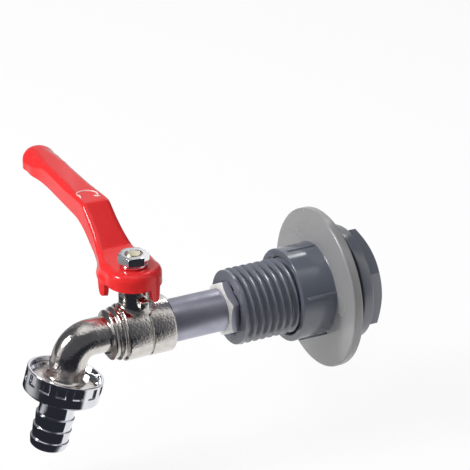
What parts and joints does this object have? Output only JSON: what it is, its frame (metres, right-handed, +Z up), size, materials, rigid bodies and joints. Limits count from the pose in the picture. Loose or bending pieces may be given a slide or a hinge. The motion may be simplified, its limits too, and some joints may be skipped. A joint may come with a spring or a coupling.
{
  "type": "water tank tap",
  "caption": "Ball tap with a red lever handle on a threaded plastic tank connector, with a curved spout, a hose union nut and a barbed hose tail.",
  "frame": {"origin": "where the tap's axis meets the plane of the tank's outer wall, which is the tank-side face of the flange nut", "axes": "+Y along the tap's axis into the tank, so the spout points to -Y; +Z up along the stem; the lever lies along -X when closed"},
  "size_m": [0.1506, 0.157, 0.0897],
  "materials": {
    "connector_plastic": "glossy dark grey moulding",
    "flange_plastic": "glossy dark grey moulding",
    "black_rubber": "matte",
    "white_seal": "smooth fluoropolymer",
    "nickel_plate": "satin nickel plate on cast brass",
    "chrome_plate": "bright plate",
    "ball_chrome": "polished",
    "bare_brass": "machined",
    "zinc_plate": "bright zinc plate",
    "red_paint": "glossy enamel on pressed steel"
  },
  "bodies": {
    "tap": {"tank_connector": "connector_plastic", "flange_nut": "flange_plastic", "head_gasket": "black_rubber", "end_adapter": "nickel_plate", "adapter_o_ring": "black_rubber", "valve_body": "nickel_plate", "seat_inlet": "white_seal", "seat_outlet": "white_seal", "stem_thrust_washer": "white_seal", "gland_packing": "white_seal", "gland_nut": "bare_brass", "union_nut": "chrome_plate", "hose_washer": "black_rubber", "hose_tail": "chrome_plate"},
    "lever": {"ball": "ball_chrome", "stem": "bare_brass", "stem_o_ring_lower": "black_rubber", "stem_o_ring_upper": "black_rubber", "handle": "red_paint", "handle_washer": "zinc_plate", "handle_nut": "zinc_plate"}
  },
  "joints": [
    {"name": "handle_turn", "type": "hinge", "parent": "tap", "child": "lever", "pos_m": [0, -0.0892, 0], "axis": [0, 0, 1], "range_deg": [0, 90]}
  ]
}
